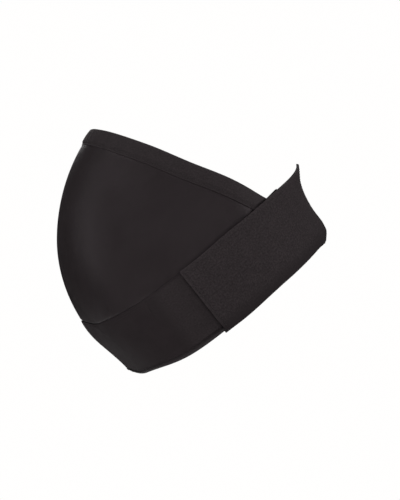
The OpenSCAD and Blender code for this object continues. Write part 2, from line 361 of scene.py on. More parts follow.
def grid_mesh(outer, inner, worn=1.0):
    """A closed sheet of cloth between two grids of points, with a rounded rim.

    Its UV map is in metres along and across the cloth. Its lightening attribute is worn at the rim
    and fades over a few millimetres: partly where rubbing has raised the surface, partly a painted
    highlight where the rim catches the light.
    """
    n, m = outer.shape[:2]
    border = rim_loop(n, m)
    at = np.array(border)
    inwards = np.clip(at, 1, [n - 2, m - 2])
    tip = outer[at[:, 0], at[:, 1]]
    tail = inner[at[:, 0], at[:, 1]]
    away = tip - outer[inwards[:, 0], inwards[:, 1]]
    away /= np.maximum(np.linalg.norm(away, axis=1, keepdims=True), 1e-9)
    thick = np.linalg.norm(tip - tail, axis=1, keepdims=True)
    rim = (tip + tail) / 2 + away * thick * RIM_SHARE

    index = np.arange(n * m).reshape(n, m)
    a, b, c, d = index[:-1, :-1], index[1:, :-1], index[1:, 1:], index[:-1, 1:]
    faces = [np.stack([a, b, c, d], -1).reshape(-1, 4)]
    faces.append(np.stack([a, d, c, b], -1).reshape(-1, 4) + n * m)
    k = index[at[:, 0], at[:, 1]]
    r = 2 * n * m + np.arange(len(border))
    k1, r1 = np.roll(k, -1), np.roll(r, -1)
    faces.append(np.stack([k1, k, r, r1], -1))
    faces.append(np.stack([r1, r, k + n * m, k1 + n * m], -1))
    faces = np.concatenate(faces)

    along = np.linalg.norm(np.diff(outer, axis=0), axis=2)
    across = np.linalg.norm(np.diff(outer, axis=1), axis=2)
    u = np.concatenate([np.zeros((1, m)), np.cumsum(along, axis=0)])
    v = np.concatenate([np.zeros((n, 1)), np.cumsum(across, axis=1)], axis=1)
    uv = np.stack([u - u[n // 2], v], -1).reshape(-1, 2)
    uv = np.concatenate([uv, uv, uv[k]])
    to_rim = np.minimum(np.minimum(u, u[-1:] - u), np.minimum(v, v[:, -1:] - v)).reshape(-1)
    # Lighter towards the rim: rubbing, and a painted highlight where the rim catches the light.
    wear_and_painted_light = worn * np.exp(-to_rim / RUBBED_AND_LIT)
    wear_and_painted_light = np.concatenate([wear_and_painted_light, wear_and_painted_light, np.full(len(border), worn)])

    points = np.concatenate([outer.reshape(-1, 3), inner.reshape(-1, 3), rim])
    return make_mesh("sheet", points, faces, uv, wear_and_painted_light)


def make_mesh(name, points, faces, uv=None, wear_and_painted_light=None):
    """A smooth mesh with the cloth UV map and the lightening attribute that the materials read, for
    rubbed rims and painted light.
    """
    mesh = bpy.data.meshes.new(name)
    mesh.from_pydata(points.tolist(), [], faces.tolist() if hasattr(faces, "tolist") else faces)
    mesh.polygons.foreach_set("use_smooth", [True] * len(mesh.polygons))
    corner = np.zeros(len(mesh.loops), np.int32)
    mesh.loops.foreach_get("vertex_index", corner)
    layer = mesh.uv_layers.new(name="cloth")
    if uv is None:
        uv = points[:, [1, 2]]
    layer.data.foreach_set("uv", uv[corner].astype(np.float32).reshape(-1))
    if wear_and_painted_light is None:
        wear_and_painted_light = np.zeros(len(points))
    mesh.attributes.new("wear_and_painted_light", "FLOAT", "POINT").data.foreach_set("value", wear_and_painted_light)
    mesh.update()
    return mesh


def add(name, mesh, material, nodes, carrier="belt"):
    """A new piece that rides on a body and stands for CAD nodes. No carrier leaves it free."""
    mesh.name = name
    mesh.materials.append(material)
    piece = bpy.data.objects.new(name, mesh)
    bpy.context.scene.collection.objects.link(piece)
    if carrier:
        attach(piece, carrier)
    if nodes:
        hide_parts(*nodes)
    return piece


def ply(place, angles, vs, faces, relief=None, under=None):
    """The two grids of a cloth on a surface, between two distances from the wearer.

    relief gives what the cloth's outer face adds to its distance, and under the inner's.
    """
    a, v = np.meshgrid(angles, vs, indexing="ij")
    phi, z = place(a, v)
    low, high = faces
    raised = relief(a, v, phi, z) if relief else 0 * v
    lifted = under(a, v, phi, z) if under else raised
    return lay(phi, z, high + raised), lay(phi, z, low + lifted)


def unraised(a, v, phi, z):
    """No relief at all."""
    return 0 * v


# --- Stitches ---

STITCH_SIDES = 6
STITCH_STATIONS = 5
STITCH_PITCH = 2.8 * MM
STITCH_LENGTH = 2.2 * MM
STITCH_THICK = 0.42 * MM
# Shares of the thread's thickness: how far it is sunk, how far its ends dip, how wide it is.
STITCH_SINK = 0.25
STITCH_DIP = 0.55
STITCH_WIDE = 1.25


def stitches(line, normals, pitch, length, thick):
    """One mesh of separate stitches along a line, each a short thread that dips at its ends."""
    step = np.linalg.norm(np.diff(line, axis=0), axis=1)
    run = np.concatenate([[0], np.cumsum(step)])
    centres = np.arange(pitch / 2, run[-1], pitch)

    def take(values, where):
        return np.stack([np.interp(where, run, values[:, k]) for k in range(3)], 1)

    middle, up = take(line, centres), take(normals, centres)
    tangent = take(line, centres + pitch / 4) - take(line, centres - pitch / 4)
    tangent /= np.maximum(np.linalg.norm(tangent, axis=1, keepdims=True), 1e-9)
    up /= np.linalg.norm(up, axis=1, keepdims=True)
    beside = np.cross(tangent, up)

    s = np.linspace(-1, 1, STITCH_STATIONS)
    turn = np.linspace(0, 2 * math.pi, STITCH_SIDES, endpoint=False)
    radius = thick / 2 * np.sqrt(np.maximum(1 - 0.75 * s**4, 0))
    height = thick / 2 * (1 - STITCH_SINK) - thick * STITCH_DIP * s**4
    ring = (
        middle[:, None, None]
        + tangent[:, None, None] * (s * length / 2)[None, :, None, None]
        + up[:, None, None] * (height[:, None] + radius[:, None] * np.sin(turn))[None, :, :, None]
        + beside[:, None, None] * (radius[:, None] * np.cos(turn) * STITCH_WIDE)[None, :, :, None]
    )
    count = len(centres)
    per = STITCH_STATIONS * STITCH_SIDES
    base = np.arange(count)[:, None, None] * per
    i, j = np.meshgrid(np.arange(STITCH_STATIONS - 1), np.arange(STITCH_SIDES), indexing="ij")
    here, beyond, next_j = i * STITCH_SIDES, (i + 1) * STITCH_SIDES, (j + 1) % STITCH_SIDES
    quad = np.stack([here + j, beyond + j, beyond + next_j, here + next_j], -1)
    faces = (quad.reshape(1, -1, 4) + base).reshape(-1, 4).tolist()
    for k in range(count):
        faces.append([k * per + q for q in range(STITCH_SIDES)])
        faces.append([k * per + per - 1 - q for q in range(STITCH_SIDES)])
    return make_mesh("row", ring.reshape(-1, 3), faces)


def mark(mesh, name, grid):
    """Gives a sheet's points a number each, from a grid of them, for its material."""
    at = np.array(rim_loop(*grid.shape))
    layer = mesh.attributes.get(name) or mesh.attributes.new(name, "FLOAT", "POINT")
    values = np.concatenate([grid.ravel(), grid.ravel(), grid[at[:, 0], at[:, 1]]])
    layer.data.foreach_set("value", values)


def join(meshes):
    """One mesh of several that share their material."""
    points, faces, start = [], [], 0
    for mesh in meshes:
        co = np.zeros(len(mesh.vertices) * 3)
        mesh.vertices.foreach_get("co", co)
        points.append(co.reshape(-1, 3))
        faces += [[start + k for k in p.vertices] for p in mesh.polygons]
        start += len(mesh.vertices)
        bpy.data.meshes.remove(mesh)
    return make_mesh("joined", np.concatenate(points), faces)


def stitch_line(place, angles, v, out, thick=STITCH_THICK):
    """Stitches along a surface at a share v across it. out may vary along the line."""
    a = np.asarray(angles, float)
    phi, z = place(a, v + 0 * a)
    return stitches(lay(phi, z, out + 0 * a), outward(phi, z), STITCH_PITCH, STITCH_LENGTH, thick)


def cross_stitches(angle, span, out, pitch=STITCH_PITCH, length=STITCH_LENGTH, thick=STITCH_THICK):
    """Stitches across the belt at one angle, from one share of its width to another."""
    v = np.linspace(*span, 120)
    phi, z = on_belt(angle + 0 * v, v)
    return stitches(lay(phi, z, out + 0 * v), outward(phi, z), pitch, length, thick)


# --- Materials ---

BUMP_STRENGTH = 0.6
# The noise's useful range. What lies outside it is cut off.
NOISE = (0.3, 0.7)
# How much lighter the lightening attribute makes the cloth: rubbed rims, and painted highlights and
# painted light.
WEAR_AND_LIGHT_GAIN = 0.45
KNIT_SHADE = 0.12
PATCHY_ROUGH = 0.05
# The smooth knits' shine is a little redder than white.
SHINE = (1, 0.85, 0.92, 1)


class Nodes:
    """A short way to write a material's node tree."""

    def __init__(self, name):
        self.material = bpy.data.materials.new(name)
        self.material.use_nodes = True
        self.tree = self.material.node_tree
        self.tree.nodes.clear()
        self.shader = self.tree.nodes.new("ShaderNodeBsdfPrincipled")
        output = self.tree.nodes.new("ShaderNodeOutputMaterial")
        self.tree.links.new(self.shader.outputs["BSDF"], output.inputs["Surface"])

    def node(self, kind, inputs=None, **settings):
        """A new node. Its inputs are values or other nodes' outputs."""
        made = self.tree.nodes.new(kind)
        for key, value in settings.items():
            setattr(made, key, value)
        for key, value in (inputs or {}).items():
            self.feed(made.inputs[key], value)
        return made

    def feed(self, socket, value):
        if isinstance(value, bpy.types.NodeSocket):
            self.tree.links.new(value, socket)
        else:
            socket.default_value = value

    def math(self, kind, a, b=0.0):
        return self.node("ShaderNodeMath", {0: a, 1: b}, operation=kind).outputs[0]

    def scaled_uv(self, along, across):
        """The cloth's own coordinates, in units of the given lengths."""
        uv = self.node("ShaderNodeUVMap", uv_map="cloth").outputs[0]
        inputs = {"Vector": uv, "Scale": (1 / along, 1 / across, 1)}
        return self.node("ShaderNodeMapping", inputs).outputs[0]

    def noise(self, vector, detail, roughness):
        inputs = {"Vector": vector, "Scale": 1.0, "Detail": detail, "Roughness": roughness}
        return self.node("ShaderNodeTexNoise", inputs).outputs[0]

    def bands(self, vector, direction, distortion):
        """Ridges one unit of the vector apart."""
        inputs = {"Vector": vector, "Scale": math.pi / 10, "Distortion": distortion, "Detail": 1.0}
        made = self.node(
            "ShaderNodeTexWave", inputs, wave_type="BANDS", bands_direction=direction)
        return made.outputs[1]

    def remap(self, value, low, high, to_low, to_high):
        inputs = {0: value, 1: low, 2: high, 3: to_low, 4: to_high}
        return self.node("ShaderNodeMapRange", inputs).outputs[0]

    def mix(self, factor, a, b):
        made = self.node("ShaderNodeMix", data_type="RGBA")
        self.feed(made.inputs[0], factor)
        self.feed(made.inputs[6], a)
        self.feed(made.inputs[7], b)
        return made.outputs[2]

    def bump(self, height, distance, normal=None):
        inputs = {"Height": height, "Distance": distance, "Strength": BUMP_STRENGTH}
        if normal is not None:
            inputs["Normal"] = normal
        return self.node("ShaderNodeBump", inputs).outputs[0]


def tone(grey, warmth=0.13):
    """A near-black with a little red in it, and less green."""
    return (grey * (1 + warmth), grey * (1 - warmth * 0.4), grey, 1.0)


def attribute(n, name):
    """A number that the mesh carries at each point."""
    return n.node("ShaderNodeAttribute", attribute_name=name).outputs["Fac"]


def cloth_material(name, dark, light, pitch, relief, rough, specular, mottle, grain, shaded_tone=None):
    """Knitted or woven cloth: courses and wales at the given pitch, mottled, and lighter at rubbed
    rims and where highlights and light are painted in.

    dark and light are its colours, relief is how far the knit stands out, rough and specular are
    the shader's, and mottle and grain are each a feature size and how much of the colour it takes.
    Where a shaded tone is given, the colour goes over to it as the mesh's pile-and-shade attribute
    falls to 0: painted shade, and on the loop landing also where the pile thins out.
    """
    n = Nodes(name)
    weave = n.scaled_uv(*pitch)
    wale = n.bands(weave, "X", 0.6)
    course = n.bands(weave, "Y", 0.8)
    knit = n.math("MULTIPLY", wale, n.math("ADD", n.math("MULTIPLY", course, 0.6), 0.4))
    fuzz = n.noise(n.scaled_uv(grain[0], grain[0]), 3.0, 0.7)
    patch = n.noise(n.scaled_uv(mottle[0], mottle[0]), 4.0, 0.55)
    shade = n.remap(patch, *NOISE, 0.5 - mottle[1] / 2, 0.5 + mottle[1] / 2)
    shade = n.math("ADD", shade, n.remap(fuzz, *NOISE, -grain[1] / 2, grain[1] / 2))
    # Lighter by the mesh's lightening attribute: rubbed rims, painted highlights on rims and on the
    # binding's roll, painted light on the band's top.
    shade = n.math("ADD", shade, n.math("MULTIPLY", attribute(n, "wear_and_painted_light"), WEAR_AND_LIGHT_GAIN))
    shade = n.math("ADD", shade, n.remap(knit, 0.0, 1.0, -KNIT_SHADE, KNIT_SHADE))
    colour = n.mix(n.remap(shade, 0.0, 1.5, 0.0, 1.5), dark, light)
    # Painted shade: towards the given darker tone where the pile-and-shade attribute falls.
    if shaded_tone:
        colour = n.mix(attribute(n, "nap_and_shade"), shaded_tone, colour)
    n.feed(n.shader.inputs["Base Color"], colour)
    patchy = n.remap(patch, *NOISE, rough - PATCHY_ROUGH, rough + PATCHY_ROUGH)
    n.feed(n.shader.inputs["Roughness"], patchy)
    fine = n.bump(fuzz, relief * 2.0)
    n.feed(n.shader.inputs["Normal"], n.bump(knit, relief, fine))
    n.shader.inputs["Specular IOR Level"].default_value = specular
    return n.material


# The tone that the loop landing's colour fades from at its front edge, a little lighter than the
# band's knit: painted shade where the band bends, lightened so that no dark valley shows.
BAND_TONE = tone(0.0208, 0.16)
PANEL_KNIT = cloth_material(
    "panel_knit", tone(0.0160, 0.165), tone(0.0205, 0.165), pitch=(0.55 * MM, 0.5 * MM),
    relief=0.04 * MM, rough=0.38, specular=0.17, mottle=(28 * MM, 0.2), grain=(0.9 * MM, 0.4))
BAND_KNIT = cloth_material(
    "band_knit", tone(0.0142, 0.17), tone(0.0198, 0.17), pitch=(0.6 * MM, 0.55 * MM),
    relief=0.05 * MM, rough=0.6, specular=0.08, mottle=(22 * MM, 0.5), grain=(0.9 * MM, 0.4))
TRIM_KNIT = cloth_material(
    "trim_knit", tone(0.0190, 0.16), tone(0.0322, 0.16), pitch=(0.7 * MM, 0.6 * MM),
    relief=0.06 * MM, rough=0.7, specular=0.08, mottle=(12 * MM, 0.3), grain=(1.9 * MM, 1.0))
# The binding's light tone serves the painted highlight along its roll.
BINDING = cloth_material(
    "binding_knit", tone(0.0080), tone(0.0290), pitch=(0.6 * MM, 0.55 * MM),
    relief=0.05 * MM, rough=0.6, specular=0.08, mottle=(12 * MM, 0.2), grain=(0.9 * MM, 0.3))
# The plush goes to its darker shaded tone over its lower edge: painted shade.
PLUSH = cloth_material(
    "plush_loop", tone(0.0180, 0.15), tone(0.0350, 0.15), pitch=(0.9 * MM, 0.8 * MM),
    relief=0.12 * MM, rough=0.85, specular=0.04, mottle=(16 * MM, 0.25), grain=(2.0 * MM, 1.3),
    shaded_tone=tone(0.0176, 0.15))
# The landing's colour fades in from the band's tone at its front edge: painted light and shade for
# the soft edge where the band bends.
LANDING = cloth_material(
    "loop_landing", tone(0.0200, 0.15), tone(0.0318, 0.15), pitch=(0.9 * MM, 0.8 * MM),
    relief=0.12 * MM, rough=0.85, specular=0.04, mottle=(14 * MM, 0.2), grain=(1.8 * MM, 0.9),
    shaded_tone=BAND_TONE)
# The lining is near-black, and darker still as painted shade for the belt's shaded inside.
SHADED_LINING = cloth_material(
    "lining_knit", tone(0.0070), tone(0.0110), pitch=(0.8 * MM, 0.7 * MM),
    relief=0.1 * MM, rough=0.9, specular=0.03, mottle=(16 * MM, 0.5), grain=(1.2 * MM, 0.6))
WEBBING = cloth_material(
    "elastic_web", tone(0.0110, 0.02), tone(0.0190, 0.02), pitch=(1.6 * MM, 0.8 * MM),
    relief=0.2 * MM, rough=0.75, specular=0.1, mottle=(20 * MM, 0.4), grain=(1.0 * MM, 0.4))
TAPE = cloth_material(
    "seam_tape", tone(0.0090), tone(0.0140), pitch=(0.5 * MM, 1.1 * MM),
    relief=0.12 * MM, rough=0.8, specular=0.08, mottle=(14 * MM, 0.4), grain=(1.0 * MM, 0.4))
THREAD = cloth_material(
    "thread", tone(0.0150), tone(0.0230), pitch=(0.3 * MM, 0.3 * MM),
    relief=0.03 * MM, rough=0.55, specular=0.12, mottle=(10 * MM, 0.4), grain=(0.6 * MM, 0.4))
HOOKS = cloth_material(
    "hook_tape", tone(0.0100, 0.0), tone(0.0150, 0.0), pitch=(1.2 * MM, 1.2 * MM),
    relief=0.05 * MM, rough=0.45, specular=0.3, mottle=(12 * MM, 0.4), grain=(0.8 * MM, 0.4))
LABEL = cloth_material(
    "label_satin", (0.52, 0.52, 0.49, 1), (0.66, 0.66, 0.63, 1), pitch=(0.4 * MM, 0.3 * MM),
    relief=0.04 * MM, rough=0.45, specular=0.3, mottle=(12 * MM, 0.3), grain=(0.8 * MM, 0.2))
for knit in (PANEL_KNIT, BAND_KNIT):
    knit.node_tree.nodes["Principled BSDF"].inputs["Specular Tint"].default_value = SHINE


# --- Front panel ---

PANEL_ROLL = 0.15 * MM
PANEL_GATHER = 0.20 * MM
PANEL_TUCK = 0.9 * MM
PANEL_DIP = 0.1 * MM
PANEL_SIDE_DIP = 0.2 * MM
LINING_SHARE = 0.6


def panel_relief(a, v, phi, z):
    """The panel rolls over at the belt's seam, is gathered into it, and dips at the hem."""
    up = z - edge(SEAM_HEIGHTS, phi)
    down = edge(TOP_HEIGHTS, phi) - hem_drop(phi) - z
    beside = past_front(phi)
    roll = PANEL_ROLL * bump(up, 5 * MM, 5 * MM) * beside
    gather = PANEL_GATHER * waves(phi * PER_DEGREE * 2.2, z * 0.5, 24 * MM, 5)
    gather = gather * bump(up, 6 * MM, 14 * MM) * (0.3 + 0.7 * beside)
    tuck = PANEL_TUCK * fall(up, 1.3 * MM, 1.3 * MM)
    dip = (PANEL_DIP + PANEL_SIDE_DIP * rise(np.abs(phi), 40, 30)) * bump(down, 0.4 * MM, 1.2 * MM)
    return (roll + gather - dip) * rise(up + down, 0, 30 * MM) - tuck


def panel_under(a, v, phi, z):
    """The lining follows the panel's cloth part of the way."""
    return LINING_SHARE * panel_relief(a, v, phi, z)


def make_panel():
    """The panel's cloth and its lining. Stations are closer where it turns into the seam."""
    at_seam = np.linspace(0, 0.15, 30)[:-1]
    open_cloth = np.linspace(0.15, 0.93, 56)
    at_hem = np.linspace(PANEL_TOP, PANEL_OVER, 12)
    vs = np.concatenate([at_seam, open_cloth, at_hem])
    angles = spaced(-PANEL_END, PANEL_END, 240)
    mesh = grid_mesh(*ply(on_panel, angles, vs, PANEL_CLOTH, panel_relief), 0.0)
    cloth = add("belly_panel_cloth", mesh, PANEL_KNIT, ["belly_panel_outer"])
    angles = spaced(-PANEL_END, PANEL_END, 180)
    skin = ply(on_panel, angles, vs[::2], PANEL_LINING, panel_under)
    mesh = grid_mesh(*skin)
    lining = add("belly_panel_inside", mesh, SHADED_LINING, ["belly_panel_lining"])


# --- Top hem ---

HEM_LOW_ROW = 18.6 * MM
HEM_HIGH_ROW = 16.0 * MM
ELASTIC_SPAN = (0.79, 0.16)
HEM_PRESSED = 0.85 * MM
HEM_SWELL = 0.30 * MM
HEM_PUCKER = 0.16 * MM
HEM_GROOVE = 0.25 * MM
HEM_FOLD = 0.8 * MM
HEM_MIDDLE = 1.2 * MM
HEM_HALF_THICK = 0.32 * MM
HEM_STITCH_OUT = 0.3 * MM


def hem_profile():
    """The folded cloth in section, as (drop, out): the inner leg, the fold, the outer leg."""
    r = (HEM_OUTSIDE - HEM_INSIDE) / 2
    low = np.linspace(HEM_W, HEM_W * 0.75, 9)
    high = np.linspace(HEM_W * 0.72, r, 13)
    legs = np.concatenate([low, high])
    turn = np.linspace(0, math.pi, 9)[1:-1]
    fold = np.stack([r - r * np.sin(turn), HEM_INSIDE + r - r * np.cos(turn)], 1)
    up = np.stack([legs, np.full(len(legs), HEM_INSIDE)], 1)
    down = np.stack([legs[::-1], np.full(len(legs), HEM_OUTSIDE)], 1)
    return np.concatenate([up, fold, down])


def hem_relief(phi, drop):
    """The hem is full over its elastic and pressed flat below it, with two stitched grooves.

    One small fold crosses it on the wearer's left.
    """
    arc = phi * HEM_PER_DEGREE
    middle = 0.4 * MM * bump(phi, 0, 18)
    depth = HEM_PRESSED - 0.1 * MM * rise(np.abs(phi), 45, 30) + middle
    pressed = depth * rise(drop, HEM_HIGH_ROW, 2.6 * MM)
    groove = bump(drop, HEM_LOW_ROW, 0.7 * MM) + bump(drop, HEM_HIGH_ROW, 0.7 * MM)
    swell = HEM_SWELL * bump(drop, 8 * MM, 6 * MM)
    pucker = HEM_PUCKER * waves(arc * 3, drop * 0.5, 16 * MM, 11) * rise(drop, 0, 6 * MM)
    fold = bump(arc - 155 * MM + 0.45 * (drop - 10 * MM), 0, 1.6 * MM) * bump(drop, 11 * MM, 8 * MM)
    return swell + pucker - pressed - HEM_GROOVE * groove - HEM_FOLD * fold


def make_hem():
    """The folded casing, the elastic in it and its two rows of stitches."""
    angles = spaced(-HEM_END, HEM_END, 300)
    profile = hem_profile()
    step = np.gradient(profile, axis=0)
    normal = np.stack([step[:, 1], -step[:, 0]], 1)
    normal /= np.linalg.norm(normal, axis=1, keepdims=True)
    a = angles[:, None]
    outside = profile[:, 1] > HEM_MIDDLE
    relief = np.where(outside, hem_relief(a, profile[:, 0]), 0.0)

    def skin(offset):
        drop = profile[:, 0] + normal[:, 0] * offset
        out = profile[:, 1] + normal[:, 1] * offset
        phi, z = on_hem(a + 0 * drop, drop / HEM_W)
        return lay(phi, z, out + relief)

    outer, inner = skin(HEM_HALF_THICK), skin(-HEM_HALF_THICK)
    mesh = grid_mesh(outer, inner)
    casing = add("top_hem_fold", mesh, TRIM_KNIT, ["top_hem_casing"])
    angles = spaced(-HEM_END, HEM_END, 120)
    elastic = ply(on_hem, angles, np.linspace(*ELASTIC_SPAN, 8), HEM_ELASTIC)
    web = add("hem_elastic", grid_mesh(*elastic), WEBBING, ["top_hem_elastic"])
    rows = []
    line = np.linspace(-HEM_END + 1.5, HEM_END - 1.5, 700)
    for drop in (HEM_LOW_ROW, HEM_HIGH_ROW):
        out = HEM_OUTSIDE + HEM_STITCH_OUT + hem_relief(line, drop)
        rows.append(stitch_line(on_hem, line, drop / HEM_W, out))
    add("hem_stitches", join(rows), THREAD, ["top_hem_stitching"])


# --- Front band ---

BAND_GATHER = 0.28 * MM
BAND_CREASE = 0.45 * MM
BAND_TURN = 0.4 * MM
# How much lighter the band's top is painted: painted light where light from above falls below the
# seam.
BAND_TOP_PAINTED_LIGHT = 0.5
ROLL_HALF_THICK = 0.28 * MM
ROLL_R = 1.62 * MM
ROLL_MIDDLE = 1.3 * MM
SEAM_STITCH_OUT = 2.35 * MM
SEAM_STITCH_THICK = 0.34 * MM


def band_relief(a, v, phi, z):
    """Gathers and two creases under the panel's seam, and the cloth's turn into it."""
    arc = phi * PER_DEGREE
    width = v * BELT_W
    from_seam = width - 70 * MM
    folds = BAND_GATHER * waves(arc * 1.3, width * 0.5, 26 * MM, 23) * bump(width, 66 * MM, 20 * MM)
    crease = bump(arc - 96 * MM + 0.8 * from_seam, 0, 2.2 * MM) * bump(width, 70 * MM, 7 * MM)
    crease += bump(arc - 30 * MM - 1.4 * from_seam, 0, 2.6 * MM) * bump(width, 68 * MM, 8 * MM)
    held = fall(width, BELT_W, 6 * MM)
    return (folds + BAND_CREASE * crease) * held - BAND_TURN * bump(width, BELT_W, 2.6 * MM)


def make_band():
    """The band's cloth, its elastic and its lining, with the binding round the lower edge."""
    angles = spaced(-BAND_END, BAND_END, 300)
    vs = spaced(BAND_LOW, 1.0, 50, CRISP)
    outer, inner = ply(on_belt, angles, vs, BAND_CLOTH, band_relief, unraised)
    mesh = grid_mesh(outer, inner, 0.0)
    # Painted light: the band is lighter along its top, below the panel's seam, where light from
    # above falls.
    wear_and_painted_light = BAND_TOP_PAINTED_LIGHT * bump(vs * BELT_W, BELT_W, 15 * MM)
    mark(mesh, "wear_and_painted_light", np.broadcast_to(wear_and_painted_light, outer.shape[:2]))
    cloth = add("front_band_cloth", mesh, BAND_KNIT, ["front_band_outer"])
    core = ply(on_belt, spaced(-BAND_END, BAND_END, 140), spaced(BAND_LOW, 0.992, 16), BAND_CORE)
    web = add("front_band_web", grid_mesh(*core), WEBBING, ["front_band_core"])
    skin = ply(on_belt, spaced(-BAND_END, BAND_END, 200), spaced(BAND_LOW, 1.0, 28), BAND_LINING)
    mesh = grid_mesh(*skin)
    lining = add("front_band_inside", mesh, SHADED_LINING, ["front_band_lining"])
    make_binding()


def make_binding():
    """A narrow strip of knit rolled round the front band's lower edge, and its stitches.

    In section it is an inner leg, a half turn and an outer leg that is sewn down.
    """
    angles = spaced(-TAB_HINGE, TAB_HINGE, 320)
    mid, r, half = ROLL_MIDDLE, ROLL_R, ROLL_HALF_THICK
    turn = np.linspace(0, math.pi, 9)[1:-1]
    inner_leg = np.linspace(3.2 * MM, r + half, 5)
    outer_leg = np.linspace(r + half, 3.8 * MM, 4)
    width = np.concatenate([inner_leg, half + r * (1 - np.sin(turn)), outer_leg])
    out = np.concatenate([0 * inner_leg + mid - r, mid - r * np.cos(turn), 0 * outer_leg + mid + r])
    sink = np.zeros(len(width))
    sink[-2:] = 0.1 * MM, 0.25 * MM
    a = angles[:, None]
    roll = 0.1 * MM * waves(a * BINDING_PER_DEGREE, width, 18 * MM, 31)
    step_width, step_out = np.gradient(width), np.gradient(out)
    size = np.hypot(step_width, step_out)

    def skin(offset):
        phi, z = on_belt(a + 0 * width, (width + step_out / size * offset) / BELT_W)
        return lay(phi, z, out - step_width / size * offset + roll - sink)

    outer, inner = skin(half), skin(-half)
    mesh = grid_mesh(outer, inner, 0.0)
    # A painted highlight along the roll's shoulder, where the edge catches the light.
    highlight_at = len(inner_leg) + len(turn) - 1.5
    wear_and_painted_light = 2 * bump(np.arange(len(width)), highlight_at, 1.6)
    mark(mesh, "wear_and_painted_light", np.broadcast_to(wear_and_painted_light, outer.shape[:2]))
    binding = add("lower_edge_roll", mesh, BINDING, ["lower_edge_binding"])
    row = stitch_line(on_belt, np.linspace(-TAB_HINGE, TAB_HINGE, 800), BINDING_ROW, BAND_CLOTH[1])
    add("lower_edge_stitches", row, THREAD, ["lower_edge_stitching"])


def make_panel_seam():
    """The tape inside the panel's seam, and two rows of stitches below it on the band."""
    tape = ply(on_seam, spaced(-TAPE_END, TAPE_END, 160), np.linspace(0, 1, 5), SEAM_TAPE)
    piece = add("panel_seam_cover", grid_mesh(*tape), TAPE, ["panel_seam_tape"])
    rows = []
    line = np.linspace(2 - LANDING_START, LANDING_START - 2, 620)
    for v in SEAM_ROWS:
        phi, z = on_belt(line, v + 0 * line)
        out = SEAM_STITCH_OUT + band_relief(line, v + 0 * line, phi, z)
        rows.append(stitch_line(on_belt, line, v, out, SEAM_STITCH_THICK))
    add("panel_seam_stitches", join(rows), THREAD, ["panel_seam_stitching"])


# --- Back belt: wing and tab are one length of cloth on each side ---

TAB_LIFT = 1.3 * MM
TAB_LIFT_SPAN = 6
WING_PILE = 0.09 * MM
WING_SEAM_DIP = 1.2 * MM
WING_RIM_DIP = 0.25 * MM
WING_END_DIP = 0.2 * MM
# Pitch, length and thickness of the back belt's stitches.
WING_STITCH = (2.6 * MM, 2.0 * MM, 0.4 * MM)
# Close stations where the cloth bends, up to this far before the hinge and behind it.
BEND_BEFORE = 9.8
BEND_BEHIND = 0.5
BEND_STEP = 0.2
# The plush is painted darker, as shade, over this share of the width above its lower edge, where
# the belt curls in.
SHADED_EDGE = 0.24


def lift(a, *_):
    """The tab's free end stands a little off the landing."""
    return TAB_LIFT * fall(np.abs(a), TAB_FRONT + TAB_LIFT_SPAN, TAB_LIFT_SPAN)


def wing_relief(side):
    """The relief of one side's plush, which dips at the back seam, its rims and its end."""

    def relief(a, v, phi, z):
        arc = np.abs(a) * TAB_PER_DEGREE
        pile = WING_PILE * waves(arc, v * BELT_W, 3.2 * MM, 51 + side, 14)
        seam = WING_SEAM_DIP * bump(np.abs(a), 180, 1.6)
        rim = WING_RIM_DIP * (bump(v, 1.0, 0.02) + bump(v, -OVERHANG, 0.02))
        end = WING_END_DIP * bump(np.abs(a), TAB_FRONT, 0.9)
        return pile + lift(a) - seam - rim - end

    return relief


def blend_tab(piece):
    """Bakes into its mesh the placement of a piece that runs from the wing into the tab across the
    hinge.
    """
    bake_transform(piece)


